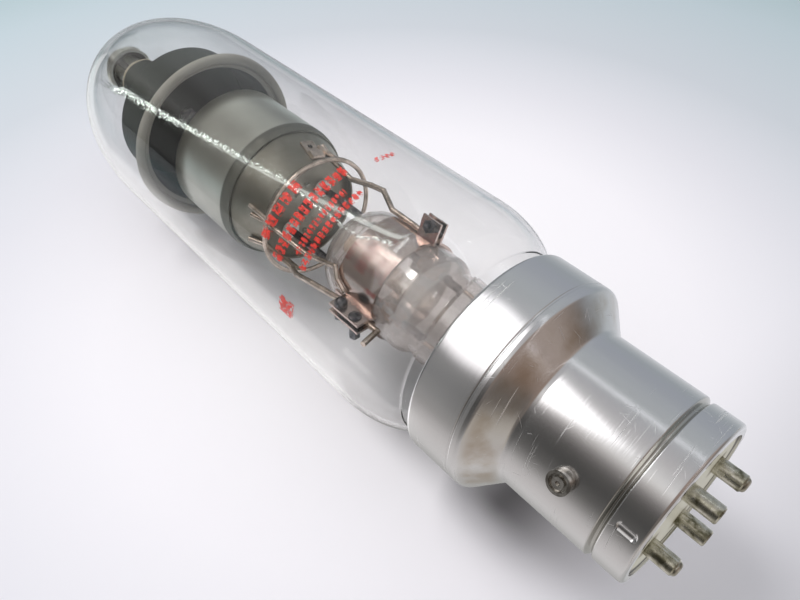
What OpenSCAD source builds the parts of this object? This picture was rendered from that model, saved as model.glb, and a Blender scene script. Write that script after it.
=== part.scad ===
// Mercury vapour rectifier tube, standing on its contact pins.
// Z is the tube's axis. z = 0 is the plane that the pin tips stand on.
// Heights in the sections below are counted from the rim of the base, which
// lies pin_reach above z = 0, unless the comment says otherwise.

/* [Base] */
// Length of the contact pins below the rim of the base
pin_reach = 7.5; // [6:0.5:14]
// Outer radius of the bottom ring
ring_r = 23.7; // [23:0.1:24]
// Height of the bottom ring
ring_h = 8.6; // [7.5:0.1:9.5]
// Height of the groove above the bottom ring
groove_h = 2; // [1.6:0.1:3]
// Depth of that groove
groove_depth = 0.9; // [0.4:0.1:1.2]
// Outer radius of the narrow part of the shell
shell_r = 24.1; // [24:0.1:26]
// Height at which the shell starts to flare
shell_top = 35.6; // [33:0.2:37]
// Outer radius of the wide skirt
skirt_r = 32.7; // [32.2:0.1:36]
// Height of the skirt's lip
lip_z = 62; // [60:0.5:64]
// Thickness of the shell's metal
shell_wall = 0.7; // [0.4:0.1:1]
// Angle of the flare away from the axis
flare_angle = 48; // [40:1:55]
// Radius of the bend at the foot of the flare
flare_foot_r = 2.4; // [1:0.2:4]
// Radius of the bend at the shoulder of the skirt
flare_shoulder_r = 2.2; // [1.2:0.2:4]
// Width that the rim turns inwards
rim_turn = 1.9; // [1.5:0.1:3]
// Thickness of the cement between the skirt and the bulb's neck
cement_t = 1.5; // [1.2:0.1:1.8]

/* [Contact pins] */
// Radius of a contact pin
pin_r = 2.38; // [2:0.02:2.8]
// Radius of the circle that the pins stand on
pin_circle_r = 12.8; // [11:0.1:15]
// Direction of the first pin
pin_turn = 13.5; // [-30:0.5:30]
// Radius of the hollow in a pin
pin_bore_r = 1.4; // [0.9:0.1:1.6]
// Height of the pins' inner ends
pin_top = 9; // [8:0.5:12]
// Radius of the flange that holds a pin down inside
pin_flange_r = 3.3; // [3:0.1:4]
// Thickness of the insulator disc
disc_h = 5; // [4:0.5:6.5]

/* [Bayonet pin] */
// Direction of the bayonet pin and of the crimp below it
key_turn = -121; // [-180:1:180]
// Height of the bayonet pin's axis
key_z = 21.2; // [16:0.2:27]
// Radius of the bayonet pin
key_r = 3.1; // [2.4:0.1:3.6]
// How far the bayonet pin stands out
key_reach = 2.4; // [1.6:0.1:3]
// Length of the crimp in the bottom ring
crimp_l = 5; // [3:0.2:6]
// Width of that crimp
crimp_w = 2; // [1:0.1:3]

/* [Bulb] */
// Outer radius of the bulb
bulb_r = 37.2; // [36.5:0.1:39]
// Thickness of the bulb's glass
bulb_wall = 1.4; // [1:0.1:1.8]
// Height of the neck's lower end
neck_z = 49; // [48.5:0.1:50]
// Height at which the dome starts
dome_z = 217; // [214:0.5:224]
// Height of the dome, as if it had no nipple
dome_h = 60; // [54:0.5:62]
// Outer radius of the nipple on the dome
nipple_r = 8.6; // [8.4:0.1:9.4]
// Length of the nipple above the dome's full height
nipple_h = 4; // [3:0.5:8]

/* [Stem] */
// Outer radius of the stem's wide part
stem_r = 16.6; // [15.8:0.1:17]
// Outer radius of the stem's narrow part
waist_r = 14.2; // [13:0.1:15.2]
// Height of the top of the waist
waist_z = 80; // [76:0.5:82]
// Height at which the stem's own dome starts
stem_dome_z = 112; // [111:0.2:114]
// Height of the stem's dome
stem_dome_h = 14; // [10:0.5:16]
// Thickness of the stem's glass
stem_wall = 1.3; // [1:0.1:1.6]
// Distance of each lead rod from the axis
lead_x = 9; // [7.5:0.1:9.6]
// Radius of the lead rods
lead_r = 1.3; // [0.8:0.1:1.5]
// Height of the lead rods' lower ends
lead_z = 77; // [74:0.5:80]
// Radius of the wires in the base
wire_r = 0.7; // [0.4:0.1:0.9]
// Radius of the exhaust tube
exhaust_r = 3.4; // [2.6:0.1:4]
// Height of the exhaust tube's sealed tip
exhaust_z = 86; // [84:0.5:92]

/* [Clamp] */
// Height of the clamp band's lower edge
band_z = 94; // [92:0.5:96]
// Height of the clamp band
band_h = 16; // [13:0.5:17]
// Thickness of the band's metal
band_wall = 0.8; // [0.5:0.1:1]
// Direction of the right-hand ears
ear_turn_a = -30; // [-36:1:-24]
// Direction of the left-hand ears
ear_turn_b = -140; // [-144:1:-138]
// How far the ears reach from the axis
ear_reach = 24; // [24:0.2:26]
// Distance of the screws from the axis
screw_at = 22; // [21.8:0.1:22.2]
// Radius of the clamp screws
screw_r = 0.9; // [0.6:0.1:1.1]
// Radius of the support rods
rod_r = 0.9; // [0.6:0.1:1.1]

/* [Cathode] */
// Outer radius of the outer heat shield
shield_r = 24.4; // [23.6:0.1:25.4]
// Height of the outer shield's lower edge
shield_z = 158.8; // [156:0.2:160]
// Height of the outer shield
shield_h = 33.6; // [30:0.2:38]
// Thickness of the shields' metal
shield_wall = 0.6; // [0.4:0.1:0.8]
// Radius of the inner shield's lower edge
inner_r = 18.8; // [18:0.1:19]
// Height of the inner shield's lower edge
inner_z = 146; // [145.5:0.5:147]
// Radius of the cage ring
cage_r = 21.3; // [20.6:0.1:21.6]
// Height of the cage ring
cage_z = 141.5; // [140:0.5:143]
// Radius of the cage's wire
cage_wire_r = 0.8; // [0.5:0.1:0.9]
// Direction of the first cage rod
cage_turn = -119; // [-180:1:180]
// Outer radius of the filament's flutes
flute_out_r = 12.5; // [11.5:0.1:14]
// Inner radius of the filament's flutes
flute_in_r = 7.5; // [6.5:0.1:9]
// Number of flutes
flutes = 16; // [10:1:20]
// Height of the filament ribbon
ribbon_h = 26; // [20:0.5:30]
// Thickness of the filament ribbon
ribbon_t = 0.3; // [0.2:0.05:0.5]

/* [Anode] */
// Radius of the anode's body
anode_r = 27; // [25:0.2:28.5]
// Radius to the middle of the anode's rolled rim
rim_r = 30.9; // [29.8:0.1:32]
// Radius of the roll itself
roll_r = 1.65; // [1.2:0.05:2]
// Height of the middle of the rolled rim
rim_z = 204.6; // [202:0.2:208]
// Height of the anode's top face
anode_top = 229; // [226:0.2:231]
// Thickness of the anode's wall
anode_wall = 1.4; // [1:0.1:2]
// Outer radius of the anode's neck sleeve
sleeve_r = 9; // [8.8:0.1:10.5]
// Height of the neck sleeve
sleeve_h = 37; // [33:0.5:38]
// Outer radius of the seal tube that carries the anode
seal_r = 7.2; // [6.6:0.05:7.25]
// Height of the seal tube's lower end
seal_z = 241; // [238:0.5:244]
// Radius of the anode's lead
anode_lead_r = 1.6; // [1:0.1:2.4]

/* [Top cap] */
// Radius of the cap's contact
cap_r = 7.2; // [6.4:0.1:7.6]
// Radius of the cap's skirt
cap_skirt_r = 10.4; // [10.3:0.1:11.4]
// Height of the cap's contact
cap_h = 9; // [8:0.5:18]
// Thickness of the cap's metal
cap_wall = 0.6; // [0.4:0.1:0.8]

/* [Clearances] */
// Gap between pieces that only touch
touch = 0.02; // [0.01:0.01:0.05]
// Gap between metal pieces that are slid together
slide = 0.1; // [0.05:0.01:0.15]

/* [Hidden] */
$fn = 96;

// Heights of the flare's two bends
foot_r = shell_r + flare_foot_r * (1 - cos(flare_angle));
foot_z = shell_top + flare_foot_r * sin(flare_angle);
shoulder_r = skirt_r - flare_shoulder_r * (1 - cos(flare_angle));
shoulder_z = foot_z + (shoulder_r - foot_r) / tan(flare_angle);
skirt_z = shoulder_z + flare_shoulder_r * sin(flare_angle);
// Radius of the bends of the rim and of the lip
edge_r = 1.3;
// Bead pressed into the skirt
bead_h = 0.9;
bead_depth = 0.3;
bead_z = skirt_z + 1;
// Bayonet pin's riveted tail, and the depth of the crimp below the pin
key_tail_r = 1.9;
crimp_depth = 0.35;
// Insulator disc, held between the rim's turned edge and the pins' flanges
disc_z = shell_wall + touch;
disc_r = ring_r - groove_depth - shell_wall - slide;
disc_top = disc_z + disc_h;
flange_h = 0.8;
shank_r = pin_r - 0.2;
// Solder stands this far out of the wired pins, and fills the pins up to this height
dome_out = 0.9;
solder_top = pin_top - 0.2;
wired = [0, 2];
// Bulb
neck_r = skirt_r - shell_wall - bead_depth - cement_t - 2 * touch;
bulb_corner_r = 24;
bulb_corner_h = 23;
bulb_corner_z = 86;
shoulder_a = acos((neck_r - bulb_corner_r) / (bulb_r - bulb_corner_r));
dome_end_r = nipple_r + 2.4;
dome_a = acos(dome_end_r / bulb_r);
dome_end_z = dome_z + dome_h * sin(dome_a);
nipple_z = dome_z + dome_h + nipple_h;
// Stem
flare_edge_r = neck_r - bulb_wall - touch;
flare_h = 12;
waist_h = 8;
stem_top = stem_dome_z + stem_dome_h;
// Clamp band
band_r = stem_r + touch;
ear_gap = 2 * (rod_r + touch);
rod_at = band_r + band_wall + rod_r + touch;
ear_side = ear_gap / 2 + band_wall;
// Pairs of ears: direction, height of the lower edge and length along the tube
ears = [[ear_turn_a, band_z - 1.2, 7], [ear_turn_b, band_z - 2, 12.5]];
// Screws: direction, height, height of the head, radius and height of the nut
screws = [
    [ear_turn_a, band_z + 1.8, 1.3, 2.1, 1.6],
    [ear_turn_b, band_z + 7.5, 2.6, 2.1, 1.2],
    [ear_turn_b, band_z + 1.4, 0.8, 1.75, 4.2]
];
screw_head_r = 1.9;
screw_tip = 1.4;
// Support rods: where they leave the inner shield, and their bends down to the ears
rod_turn_1 = -24;
rod_turn_2 = -155;
rod_bends_1 = [[16.4, -7, 134.5], [18.4, -8, 125.7], [19.2, -8.3, 120.2]];
rod_bends_2 = [[-17.6, -9, 130], [-18.2, -10, 125.5], [-16.8, -12.4, 117]];
// Distance from the axis at which the left rod lies between its ears, and its hooked end
rod_at_2 = rod_at + 1.3;
hook_z = band_z - 5.6;
hook_reach = ear_reach + 2;
// Wire from the inner shield to the clamp
cathode_wire_r = 0.8;
cathode_wire_turn = -126;
// How much thicker a wire is in its bends
knuckle = 1.06;
// Cathode
plate_h = 0.6;
plate_z = inner_z + 2.5;
shield_taper = 0.7;
shield_taper_h = 3;
// Cone of the inner shield: it widens up to a collar, which fits in the outer shield
collar_lift = 0.6;
collar_h = 6;
cone_top_z = shield_z + collar_lift;
cone_top_r = shield_r - shield_taper * (1 - collar_lift / shield_taper_h) - shield_wall - slide;
cone_spread = (cone_top_r - inner_r) / (cone_top_z - inner_z);
plate_rivets = [[6.3, -6.5], [1.5, -7], [-6.3, 6.5], [-1.5, 7]];
filament_z = plate_z + plate_h + 3.6;
lead_top = filament_z + 4;
eyelet_r = lead_r + 1.6;
tab_turn = -38;
tab_w = 5;
tab_h = 8;
tab_t = 0.6;
tab_fold = 1.6;
tab_hole_z = 5.4;
tab_hole_r = 0.9;
// Anode
body_z = rim_z + 8;
// Top cap: its skirt starts just below the top of the nipple's foot and closes over the
// nipple's end
foot_h = 3.6;
cap_z = dome_end_z + foot_h - 0.5;
cap_skirt_h = nipple_z - cap_z + cap_wall + 0.8;
cap_top = cap_z + cap_skirt_h + cap_h;
// Mercury: drops that lie in the trough where the stem's flare meets the neck.
// Each has its radius and its direction.
drops = [[2.1, 20], [1.5, 55], [1.8, 100], [1.3, 150], [2, 200], [1.6, 262], [1.2, 310]];

// Points along part of an ellipse
function arc(cx, cz, rx, rz, a0, a1, n) =
    [for (i = [0:n]) let (a = a0 + (a1 - a0) * i / n) [cx + rx * cos(a), cz + rz * sin(a)]];

function backwards(points) = [for (i = [len(points) - 1:-1:0]) points[i]];

// A shell of revolution between an outer and an inner line
module revolve(outer, inner) {
    rotate_extrude() polygon(concat(outer, backwards(inner)));
}

// Puts a child on the tube's axis, with z counted from the base's rim
module on_axis(z = 0) {
    translate([0, 0, pin_reach + z]) children();
}

module tube(r_out, r_in, h) {
    difference() {
        cylinder(r = r_out, h = h);
        translate([0, 0, -1]) cylinder(r = r_in, h = h + 2);
    }
}

// A round bar from one point to another
module bar(p, q, r) {
    d = q - p;
    run = norm([d[0], d[1]]);
    translate(p)
        rotate([0, 0, atan2(d[1], d[0])])
        rotate([0, atan2(run, d[2]), 0])
        cylinder(r = r, h = norm(d), $fn = 32);
}

// A bent wire through a list of points, slightly thicker in each bend
module wire(points, r) {
    union() {
        for (i = [0:len(points) - 2]) bar(points[i], points[i + 1], r);
        for (i = [1:len(points) - 2]) translate(points[i]) sphere(r = r * knuckle, $fn = 32);
    }
}

// A point on the pins' circle
function pin_xy(i) = pin_circle_r * [cos(pin_turn + 90 * i), sin(pin_turn + 90 * i)];

// A point at a given distance and direction from the axis
function polar(r, turn, z) = [r * cos(turn), r * sin(turn), z];

// One side of the base shell's metal, t inside its outer face
function shell_line(t) = concat(
    arc(ring_r - edge_r, edge_r, edge_r - t, edge_r - t, -90, 0, 6),
    [
        [ring_r - t, ring_h],
        [ring_r - t - groove_depth, ring_h + 0.25 * groove_h],
        [ring_r - t - groove_depth, ring_h + 0.75 * groove_h],
        [shell_r - t, ring_h + groove_h]
    ],
    arc(shell_r + flare_foot_r, shell_top, flare_foot_r + t, flare_foot_r + t,
        180, 180 - flare_angle, 8),
    arc(skirt_r - flare_shoulder_r, skirt_z, flare_shoulder_r - t, flare_shoulder_r - t,
        -flare_angle, 0, 8),
    [
        [skirt_r - t, bead_z],
        [skirt_r - t - bead_depth, bead_z + 0.3 * bead_h],
        [skirt_r - t - bead_depth, bead_z + 0.7 * bead_h],
        [skirt_r - t, bead_z + bead_h]
    ],
    arc(skirt_r - edge_r, lip_z - edge_r, edge_r - t, edge_r - t, 0, 70, 6));

module base_shell() {
    rim_in = [
        [ring_r - rim_turn - shell_wall, 0],
        [ring_r - rim_turn - shell_wall, shell_wall]
    ];
    color("silver") difference() {
        on_axis() rotate_extrude() polygon(concat(
            backwards(shell_line(shell_wall)), [rim_in[1], rim_in[0]], shell_line(0)));
        // crimp, pressed from a slot-shaped hollow
        on_axis(ring_h / 2) rotate([0, 0, key_turn]) translate([ring_r - crimp_depth, 0, 0])
            rotate([0, 90, 0]) {
                for (s = [-1, 1]) translate([s * (crimp_l - crimp_w) / 2, 0, 0])
                    cylinder(r = crimp_w / 2, h = 1, $fn = 32);
                translate([-(crimp_l - crimp_w) / 2, -crimp_w / 2, 0])
                    cube([crimp_l - crimp_w, crimp_w, 1]);
            }
        // hole for the bayonet pin's tail
        on_axis(key_z) rotate([0, 0, key_turn]) translate([shell_r - 3, 0, 0])
            rotate([0, 90, 0]) cylinder(r = key_tail_r + touch, h = 6);
    }
}

module base_insulator() {
    color("ivory") on_axis(disc_z) difference() {
        cylinder(r = disc_r, h = disc_h);
        for (i = [0:3]) translate(pin_xy(i)) translate([0, 0, -1])
            cylinder(r = shank_r + touch, h = disc_h + 2);
    }
}

module bayonet_pin() {
    seat = sqrt(pow(shell_r, 2) - pow(key_r, 2)) - 0.1;
    out = shell_r + key_reach;
    groove_deep = 0.9;
    mark_deep = 0.5;
    color("darkkhaki") on_axis(key_z) rotate([0, 0, key_turn]) rotate([0, 90, 0]) {
        difference() {
            translate([0, 0, seat]) cylinder(r = key_r, h = out - seat);
            on_shell_axis() cylinder(r = shell_r + touch, h = 4 * key_r, center = true, $fn = 192);
            translate([0, 0, out - groove_deep]) tube(0.76 * key_r, 0.5 * key_r, 2);
            translate([0, 0, out - mark_deep]) cylinder(r = 0.2 * key_r, h = 1);
        }
        // riveted tail through the wall
        translate([0, 0, shell_r - shell_wall - 0.8]) cylinder(r = key_tail_r, h = shell_wall + 1);
    }
}

// Turns a child to the shell's axis, for a piece that is drawn along a radius
module on_shell_axis() {
    rotate([0, 90, 0]) children();
}

module contact_pin(i) {
    tip = len(search(i, wired)) > 0 ? -pin_reach + dome_out : -pin_reach;
    chamfer = 0.35;
    color("darkkhaki") on_axis() translate(pin_xy(i)) rotate_extrude() polygon([
        [pin_bore_r, tip],
        [pin_r - chamfer, tip],
        [pin_r, tip + chamfer],
        [pin_r, disc_z - touch],
        [shank_r, disc_z - touch],
        [shank_r, disc_top + touch],
        [pin_flange_r, disc_top + touch],
        [pin_flange_r, disc_top + touch + flange_h],
        [pin_r, disc_top + touch + flange_h],
        [pin_r, pin_top],
        [pin_bore_r, pin_top]
    ]);
}

// Solder: a round drop on each wired pin, a plug just below flush in the others
module pin_solder() {
    face_r = 0.8;
    sunk = 0.25;
    top = pin_reach + solder_top;
    color("lightgray") for (i = [0:3]) on_axis(-pin_reach) translate(pin_xy(i))
        if (len(search(i, wired)) > 0)
            rotate_extrude() polygon(concat(
                [[0, 0], [face_r, 0]],
                arc(face_r, dome_out - touch, pin_r - 0.4 - face_r, dome_out - touch, -90, 0, 6),
                [[pin_bore_r - touch, dome_out - touch], [pin_bore_r - touch, top], [0, top]]));
        else
            translate([0, 0, sunk]) cylinder(r = pin_bore_r - touch, h = top - sunk);
}

function bulb_line(t) = concat(
    [[neck_r - t, neck_z]],
    [[neck_r - t, bulb_corner_z - bulb_corner_h * sin(shoulder_a) - 1.4]],
    arc(bulb_corner_r, bulb_corner_z, bulb_r - bulb_corner_r - t, bulb_corner_h - t,
        -shoulder_a + 4, 0, 14),
    arc(0, dome_z, bulb_r - t, dome_h - t, 0, dome_a, 28));

module glass_bulb() {
    color("aliceblue", 0.35) on_axis() revolve(
        concat(bulb_line(0), [
            [nipple_r + 0.9, dome_end_z + 1],
            [nipple_r + 0.2, dome_end_z + 2.2],
            [nipple_r, dome_end_z + foot_h],
            [nipple_r, nipple_z]
        ]),
        concat(bulb_line(bulb_wall), [
            [seal_r + touch + 0.6, dome_end_z + 1.4],
            [seal_r + touch, dome_end_z + 2.6],
            [seal_r + touch, nipple_z]
        ]));
}

function stem_line(t) = concat(
    arc(flare_edge_r, neck_z + stem_wall + flare_h, flare_edge_r - waist_r + t, flare_h + t,
        -90, -180, 10),
    [[waist_r - t, waist_z]],
    [[waist_r + 0.35 * (stem_r - waist_r) - t, waist_z + 0.25 * waist_h],
     [waist_r + 0.85 * (stem_r - waist_r) - t, waist_z + 0.7 * waist_h],
     [stem_r - t, waist_z + waist_h]],
    arc(0, stem_dome_z, stem_r - t, stem_dome_h - t, 0, 90, 16));

module stem_glass() {
    color("aliceblue", 0.35) difference() {
        on_axis() revolve(stem_line(0), stem_line(stem_wall));
        for (s = [-1, 1]) on_axis(stem_dome_z) translate([s * lead_x, 0, 0])
            cylinder(r = lead_r + touch, h = stem_dome_h + 5, $fn = 32);
    }
}

module exhaust_tube() {
    top = stem_dome_z + (stem_dome_h - stem_wall) * sqrt(1 - pow(exhaust_r / (stem_r - stem_wall), 2));
    color("tan", 0.6) on_axis() revolve(
        concat([[0, exhaust_z]], arc(0, exhaust_z + exhaust_r, exhaust_r, exhaust_r, -80, 0, 6),
               [[exhaust_r, top - touch]]),
        [[0, exhaust_z + 3], [exhaust_r - 1, exhaust_z + 6], [exhaust_r - 1, top - touch]]);
}

module basing_cement() {
    low = neck_z + 1.5;
    color("peru") on_axis(low)
        tube(skirt_r - shell_wall - bead_depth - touch, neck_r + touch, lip_z - edge_r - 0.6 - low);
}

// Wire from a pin's bore up to the foot of its lead rod
module base_wire(i) {
    side = i == 0 ? 1 : -1;
    p = pin_xy(i);
    x = side * lead_x;
    color("gray") on_axis() wire([
        [p[0], p[1], solder_top + touch],
        [p[0], p[1], pin_top + 4],
        [x, 0, lead_z - 6],
        [x, 0, lead_z - touch]
    ], wire_r);
}

module lead_rod(side) {
    color("dimgray") on_axis(lead_z) translate([side * lead_x, 0, 0])
        cylinder(r = lead_r, h = lead_top - lead_z, $fn = 32);
}

// Brown glass beads that seal the rods
module lead_beads() {
    color("saddlebrown") for (s = [-1, 1]) on_axis(band_z - 4) translate([s * lead_x, 0, 0])
        rotate_extrude($fn = 32) polygon(concat(
            [[lead_r + touch, 0]], arc(lead_r + 0.2, 4.5, 1.4, 4.5, -90, 90, 8),
            [[lead_r + touch, 9]]));
}

// Flat outline of the band: a ring, slotted through between the ears. The slot is
// a little narrower than the gap between the ears.
module band_outline() {
    slot = ear_gap - 0.2;
    difference() {
        circle(r = band_r + band_wall);
        circle(r = band_r);
        for (ear = ears) rotate(ear[0])
            translate([band_r - 1, -slot / 2]) square([ear_reach, slot]);
    }
}

// Flat outline of one pair of ears, which start in the band's metal
module ear_outline(turn) {
    root = band_r + band_wall / 2;
    rotate(turn) for (side = [-1, 1])
        translate([root, (side * (ear_gap + band_wall) - band_wall) / 2]) square([ear_reach - root, band_wall]);
}

// Wedge between the middles of the two slots, on the front
module front_wedge() {
    far = 3 * ear_reach;
    middle = (ear_turn_a + ear_turn_b) / 2;
    polygon(concat([[0, 0]], [for (turn = [ear_turn_b, middle, ear_turn_a]) far * [cos(turn), sin(turn)]]));
}

// Keeps the front or the back of a flat outline
module half(front) {
    if (front)
        intersection() {
            children();
            front_wedge();
        }
    else
        difference() {
            children();
            front_wedge();
        }
}

// Puts a child at each screw, with z along it: up from its head to its tip
module at_screws() {
    for (screw = screws)
        on_axis(screw[1]) rotate([0, 0, screw[0]]) translate([screw_at, 0, 0]) rotate([90, 0, 0]) {
            $screw = screw;
            children();
        }
}

module strap(front) {
    color("rosybrown") difference() {
        union() {
            on_axis(band_z) linear_extrude(band_h) half(front) band_outline();
            for (ear = ears) on_axis(ear[1]) linear_extrude(ear[2]) half(front) ear_outline(ear[0]);
        }
        at_screws() cylinder(r = screw_r + slide, h = 4 * ear_side, center = true, $fn = 32);
    }
}

module clamp_screws() {
    under = ear_side + touch;
    round_h = 0.6;
    color("dimgray") at_screws() {
        head_h = $screw[2];
        tip = under + $screw[4] + screw_tip;
        translate([0, 0, -under]) rotate_extrude($fn = 32) polygon(concat(
            [[0, 0.1 - head_h], [0, 0], [screw_head_r, 0]],
            arc(0, -0.35 * head_h, screw_head_r, 0.65 * head_h, 0, -84, 8)));
        translate([0, 0, -under - 0.1]) rotate_extrude($fn = 32) polygon(concat(
            [[0, 0], [screw_r, 0]],
            arc(0, tip + under + 0.1 - round_h, screw_r, round_h, 0, 84, 6),
            [[0, tip + under]]));
    }
}

module clamp_nuts() {
    color("dimgray") at_screws() translate([0, 0, ear_side + touch]) difference() {
        cylinder(r = $screw[3], h = $screw[4], $fn = 6);
        translate([0, 0, -1]) cylinder(r = screw_r + touch, h = $screw[4] + 2, $fn = 32);
    }
}

// Outer radius of the inner shield's cone at a height
function cone_r(z) = inner_r + cone_spread * (z - inner_z);

// Two points of a wire of radius r that lies along the cone, from high down to low
function along_cone(turn, r, high, low) = let (off = (r * knuckle + touch) / cos(atan(cone_spread)))
    [for (z = [high, low]) polar(cone_r(z) + off, turn, z)];

// Support rods: welded to the inner shield, bent past the cage and held between the ears
module support_rod(turn, bends, seat) {
    color("tan") on_axis() wire(concat(along_cone(turn, rod_r, inner_z + 5.5, inner_z - 1.2), bends, seat), rod_r);
}

module support_rod_1() {
    support_rod(rod_turn_1, rod_bends_1, [
        polar(rod_at, ear_turn_a, band_z + band_h + 2.5),
        polar(rod_at, ear_turn_a, band_z - 0.5)
    ]);
}

// The left rod ends in a hook below its ears
module support_rod_2() {
    support_rod(rod_turn_2, rod_bends_2, [
        polar(rod_at_2, ear_turn_b, band_z + 11.5),
        polar(rod_at_2, ear_turn_b, hook_z),
        polar(hook_reach, ear_turn_b, hook_z - 1.5)
    ]);
}

// Wire from the inner shield, over the stem's shoulder, to the side of the left ears
module cathode_wire() {
    end_turn = ear_turn_b + 7.8;
    color("tan") on_axis() wire(concat(
        along_cone(cathode_wire_turn, cathode_wire_r, inner_z + 4, inner_z - 1.2), [
            [-11, -14, band_z + 30],
            polar(band_r + 1.95, end_turn + 16.3, band_z + band_h + 0.8),
            polar(band_r + 1.9, end_turn + 6.3, band_z + 14.5),
            polar(band_r + 2, end_turn, band_z + 10.6)
        ]), cathode_wire_r);
}

module outer_shield() {
    foot = shield_r - shield_taper;
    color("darkgray") on_axis(shield_z) revolve(
        [[foot, 0], [shield_r, shield_taper_h], [shield_r, shield_h]],
        [[foot - shield_wall, 0], [shield_r - shield_wall, shield_taper_h],
         [shield_r - shield_wall, shield_h]]);
}

// Puts a child on the cone where the folded tab is, with x pointing out of the cone
module at_tab() {
    foot_z = inner_z + 0.6;
    on_axis(foot_z) rotate([0, 0, tab_turn]) translate([cone_r(foot_z) + 2 * touch, 0, 0])
        rotate([0, atan(cone_spread), 0]) children();
}

// Inner shield: a cone that closes the outer shield's lower end, with a collar inside it
module inner_shield() {
    color("gray") difference() {
        on_axis() revolve(
            [[inner_r, inner_z], [cone_top_r, cone_top_z], [cone_top_r, cone_top_z + collar_h]],
            [[inner_r - shield_wall, inner_z], [cone_top_r - shield_wall, cone_top_z],
             [cone_top_r - shield_wall, cone_top_z + collar_h]]);
        at_tab() translate([-3, 0, tab_hole_z]) rotate([0, 90, 0]) cylinder(r = tab_hole_r, h = 6, $fn = 32);
    }
}

module cathode_plate() {
    color("gray") on_axis(plate_z) {
        difference() {
            cylinder(r = cone_r(plate_z) - shield_wall - touch, h = plate_h);
            for (s = [-1, 1]) translate([s * lead_x, 0, -1]) cylinder(r = eyelet_r - 0.6, h = 3, $fn = 32);
            translate([0, 0, -1]) cylinder(r = 3, h = 3);
        }
        for (p = plate_rivets) translate([p[0], p[1], -0.7]) cylinder(r1 = 0.6, r2 = 1, h = 0.9, $fn = 32);
    }
}

// Ceramic eyelets that insulate the lead rods from the plate
module lead_eyelets() {
    color("ivory") for (s = [-1, 1]) on_axis() translate([s * lead_x, 0, 0])
        rotate_extrude($fn = 32) polygon([
            [lead_r + touch, plate_z - 1.6],
            [eyelet_r, plate_z - 1.6],
            [eyelet_r, plate_z - touch],
            [eyelet_r - 0.6 - touch, plate_z - touch],
            [eyelet_r - 0.6 - touch, plate_z + plate_h + 1],
            [lead_r + touch, plate_z + plate_h + 1]
        ]);
}

// Folded tab with a hole, welded to the cone beside the first rod
module weld_tab() {
    fold_h = 3;
    color("tan") at_tab() difference() {
        translate([0, -tab_w / 2, 0]) cube([tab_fold, tab_w, tab_h]);
        translate([tab_t, -tab_w, fold_h]) cube([tab_fold, 2 * tab_w, tab_h]);
        translate([-1, 0, tab_hole_z]) rotate([0, 90, 0]) cylinder(r = tab_hole_r, h = 6, $fn = 32);
    }
}

module cage_ring() {
    color("tan") on_axis(cage_z) rotate_extrude() translate([cage_r, 0]) circle(r = cage_wire_r, $fn = 32);
}

// Rods from the ring up to the cone
module cage_rods() {
    top = inner_z + (cage_r - cage_wire_r - touch - inner_r) / cone_spread;
    color("tan") for (i = [0:3]) rotate([0, 0, cage_turn + 90 * i]) on_axis(cage_z)
        difference() {
            translate([cage_r, 0, 0]) cylinder(r = cage_wire_r, h = top - cage_z - touch, $fn = 32);
            rotate_extrude() translate([cage_r, 0]) circle(r = cage_wire_r + touch, $fn = 32);
        }
}

// Two fluted ribbons, each bent from one lead rod round to the other
function flute(i) = let (a = 180 * i / flutes, r = i % 2 == 0 ? flute_out_r : flute_in_r)
    [r * cos(a), r * sin(a)];
function moved(points, d) = [for (p = points) p * (norm(p) + d) / norm(p)];

module filament() {
    side = lead_r + ribbon_t + touch;
    line = concat([[lead_x, side]], [for (i = [1:flutes - 1]) flute(i)], [[-lead_x, side]]);
    color("lightgray") on_axis(filament_z) for (turn = [0, 180]) rotate([0, 0, turn])
        linear_extrude(ribbon_h) polygon(concat(
            moved(line, ribbon_t), backwards(moved(line, -ribbon_t))));
}

module anode_bell() {
    flare_n = 8;
    outer = concat(
        [for (i = [0:flare_n]) let (u = i / flare_n)
            [rim_r - (rim_r - anode_r) * sin(90 * u), rim_z + (body_z - rim_z) * (1 - cos(90 * u))]],
        arc(anode_r - 2, anode_top - 2, 2, 2, 0, 90, 6));
    inner = [for (p = outer) [p[0] - anode_wall, p[1] - (p[1] > anode_top - 2.1 ? anode_wall : 0)]];
    color([0.12, 0.12, 0.12]) on_axis() union() {
        rotate_extrude() polygon(concat(
            outer, [[anode_lead_r + touch, anode_top], [anode_lead_r + touch, anode_top - anode_wall]],
            backwards(inner)));
        translate([0, 0, rim_z]) rotate_extrude() translate([rim_r, 0]) circle(r = roll_r, $fn = 32);
    }
}

// Neck of the anode: grips the seal tube and stands on the bell
module anode_sleeve() {
    color([0.16, 0.15, 0.14]) on_axis(anode_top + touch) difference() {
        union() {
            cylinder(r = sleeve_r, h = sleeve_h);
            cylinder(r = sleeve_r + 3, h = 1.6);
        }
        translate([0, 0, -1]) cylinder(r = seal_r + touch, h = sleeve_h + 2);
    }
}

module anode_lead() {
    color("dimgray") on_axis(anode_top - anode_wall - 1) union() {
        cylinder(r = anode_lead_r, h = cap_top - cap_wall - touch - anode_top + anode_wall + 1, $fn = 32);
        cylinder(r = anode_lead_r + 1.6, h = 1 - touch, $fn = 32);
    }
}

// Re-entrant glass tube, fused into the nipple and closed round the lead
module anode_seal() {
    wall = 1.3;
    color("wheat", 0.5) on_axis() revolve(
        concat([[anode_lead_r + touch, seal_z]], arc(seal_r - 2.5, seal_z + 2.5, 2.5, 2.5, -90, 0, 6),
               [[seal_r, nipple_z]]),
        [[anode_lead_r + touch, seal_z + 7], [seal_r - wall, seal_z + 10], [seal_r - wall, nipple_z]]);
}

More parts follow.
